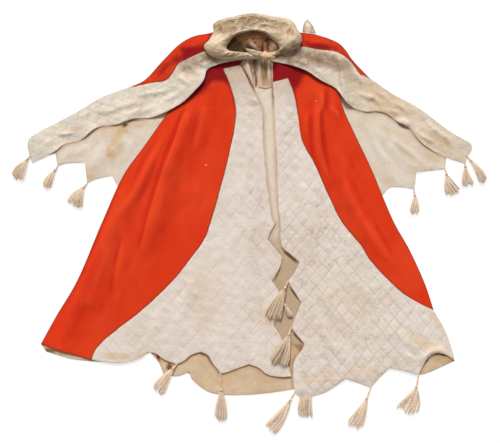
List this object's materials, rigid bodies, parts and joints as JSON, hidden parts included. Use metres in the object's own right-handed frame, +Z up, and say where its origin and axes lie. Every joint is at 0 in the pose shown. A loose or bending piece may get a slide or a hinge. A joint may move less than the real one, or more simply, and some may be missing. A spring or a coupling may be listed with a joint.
{
  "type": "ceremonial robe",
  "caption": "Long open-fronted red robe with cream quilted borders, a tasselled shoulder cape and a rolled collar, laid flat on its back.",
  "frame": {"origin": "middle of the whole robe's box, at the surface that it lies on", "axes": "+Z up out of that surface, +Y toward the collar, +X toward the viewer's right"},
  "size_m": [1.6808, 1.483, 0.0559],
  "materials": {
    "red_wool": "fulled scarlet wool with a short nap",
    "quilted_border": "cream satin, diamond quilted by machine stitching",
    "quilted_band": "aged cream satin, diamond quilted",
    "wing_lining": "plain cream cotton lining with stains",
    "back_lining": "peach-beige cotton lining",
    "facing": "plain pale cotton facing",
    "collar": "worn cream satin, quilted and padded",
    "tie": "soft beige cloth, knotted",
    "tassel": "twisted cream wool threads"
  },
  "bodies": {
    "root": {"cape_back": "red_wool", "cape_lining": "wing_lining", "robe_back": "red_wool", "robe_back_lining": "back_lining", "front_facing": "facing", "front_left_red": "red_wool", "front_right_red": "red_wool", "front_left_border": "quilted_border", "front_right_border": "quilted_border", "cape_left_red": "red_wool", "cape_right_red": "red_wool", "cape_left_band": "quilted_band", "cape_right_band": "quilted_band", "collar": "collar", "neck_tie_knot": "tie", "neck_tie_tail_left": "tie", "neck_tie_tail_right": "tie", "collar_point": "collar", "tassel_wing_left_tip": "tassel", "tassel_wing_left_outer": "tassel", "tassel_wing_left_inner": "tassel", "tassel_wing_right_tip": "tassel", "tassel_wing_right_side": "tassel", "tassel_wing_right_outer": "tassel", "tassel_wing_right_inner": "tassel", "tassel_hem_1": "tassel", "tassel_hem_2": "tassel", "tassel_hem_3": "tassel", "tassel_hem_4": "tassel", "tassel_hem_5": "tassel", "tassel_hem_6": "tassel", "tassel_edge_upper": "tassel", "tassel_edge_lower": "tassel", "tassel_edge_tucked": "tassel"}
  },
  "joints": []
}
